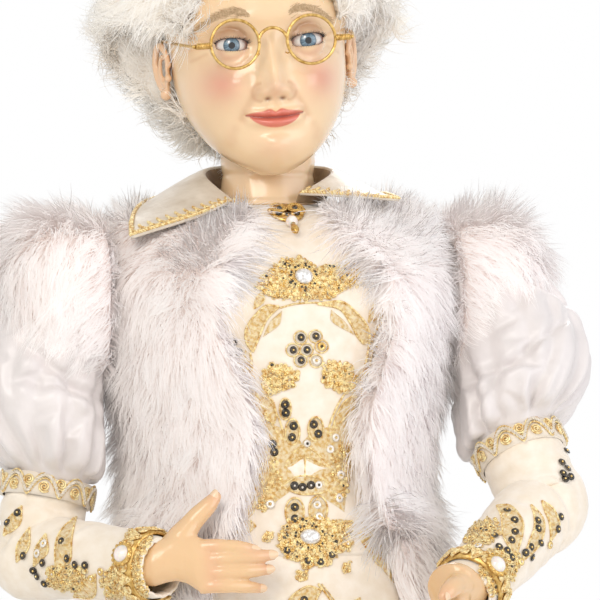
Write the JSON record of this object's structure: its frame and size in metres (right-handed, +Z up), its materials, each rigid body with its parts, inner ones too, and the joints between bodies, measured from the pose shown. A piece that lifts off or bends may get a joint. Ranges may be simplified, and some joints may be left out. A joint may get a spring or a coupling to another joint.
{
  "type": "grandmother doll",
  "caption": "Standing festive grandmother doll in a jewelled cream gown, satin coat and white fur, with a resin head, wire spectacles and posable arms on a weighted base.",
  "frame": {"origin": "centre of the base's underside, on the floor", "axes": "+Z up, the doll faces -Y, her right arm is on the -X side"},
  "size_m": [0.3071, 0.294, 0.6179],
  "materials": {
    "felt": "wool felt, dark red",
    "wood": "stained and satin varnished",
    "steel": "plated steel",
    "leather": "soft boot leather, satin",
    "muslin": "plain cotton over stuffing",
    "velvet": "short-pile velvet, cream",
    "satin": "heavy satin, silver white",
    "fur": "long-pile plush fur, pinkish white",
    "gold": "gold wire, cord and plating, aged",
    "crystal": "cut and moulded stones, clear to pearl",
    "resin": "cast resin, hand painted and varnished",
    "hair": "curled mohair, white",
    "eye": "painted and varnished"
  },
  "bodies": {
    "figure": {"base_felt": "felt", "base_board": "wood", "stand_socket": "steel", "socket_screw_1": "steel", "socket_screw_2": "steel", "stand_rod": "steel", "boot_right": "leather", "boot_left": "leather", "leg_right": "muslin", "leg_left": "muslin", "hip_block": "muslin", "torso_form": "muslin", "shoulder_yoke": "steel", "neck_socket": "wood", "bodice": "velvet", "gown_skirt": "velvet", "belt": "gold", "coat_skirt": "satin", "coat_back": "satin", "vest_front_right": "fur", "vest_front_left": "fur", "cape_back": "fur", "coat_fur_right": "fur", "coat_fur_left": "fur", "hem_fur": "fur", "collar": "satin", "neck_clasp": "gold", "pearl_drop": "crystal", "bodice_brooch": "gold", "bodice_crystal": "crystal", "belt_brooch": "gold", "belt_crystal": "crystal"},
    "head": {"head": "resin", "wig": "hair", "eye_right": "eye", "eye_left": "eye"},
    "spectacles": {"spectacle_front": "gold", "temple_right": "gold", "temple_left": "gold"},
    "upper_arm_right": {"upper_arm_right": "muslin", "puff_sleeve_right": "satin", "fur_cap_right": "fur", "elbow_braid_right": "gold", "sleeve_elbow_right": "velvet"},
    "forearm_right": {"forearm_right": "muslin", "lower_sleeve_right": "velvet", "cuff_braid_right": "gold", "cuff_jewel_right": "crystal"},
    "hand_right": {"hand_right": "resin"},
    "upper_arm_left": {"upper_arm_left": "muslin", "puff_sleeve_left": "satin", "fur_cap_left": "fur", "elbow_braid_left": "gold", "sleeve_elbow_left": "velvet"},
    "forearm_left": {"forearm_left": "muslin", "lower_sleeve_left": "velvet", "cuff_braid_left": "gold", "cuff_jewel_left": "crystal"},
    "hand_left": {"hand_left": "resin"}
  },
  "joints": [
    {"name": "neck_turn", "type": "hinge", "parent": "figure", "child": "head", "pos_m": [0, 0, 0.474], "axis": [0, 0, 1], "range_deg": [-35, 40]},
    {"name": "spectacles_lift", "type": "slide", "parent": "head", "child": "spectacles", "axis": [-0.1045, -0.9945, 0], "range_m": [0, 0.06]},
    {"name": "shoulder_swing_right", "type": "hinge", "parent": "figure", "child": "upper_arm_right", "pos_m": [-0.092, 0, 0.44], "axis": [-1, 0, 0], "range_deg": [0, 60]},
    {"name": "elbow_bend_right", "type": "hinge", "parent": "upper_arm_right", "child": "forearm_right", "pos_m": [-0.123, -0.016, 0.3], "axis": [-0.8197, -0.5196, 0.2409], "range_deg": [-3, 9]},
    {"name": "wrist_turn_right", "type": "hinge", "parent": "forearm_right", "child": "hand_right", "pos_m": [-0.076, -0.092, 0.296], "axis": [0.5254, -0.8497, -0.0447], "range_deg": [-8, 45]},
    {"name": "shoulder_swing_left", "type": "hinge", "parent": "figure", "child": "upper_arm_left", "pos_m": [0.092, 0, 0.44], "axis": [-1, 0, 0], "range_deg": [-3, 60]},
    {"name": "elbow_bend_left", "type": "hinge", "parent": "upper_arm_left", "child": "forearm_left", "pos_m": [0.125, -0.064, 0.324], "axis": [-0.3683, 0.7657, -0.5273], "range_deg": [-10, 15]},
    {"name": "wrist_turn_left", "type": "hinge", "parent": "forearm_left", "child": "hand_left", "pos_m": [0.07, -0.118, 0.284], "axis": [-0.6334, -0.6218, -0.4606], "range_deg": [-45, 45]}
  ]
}
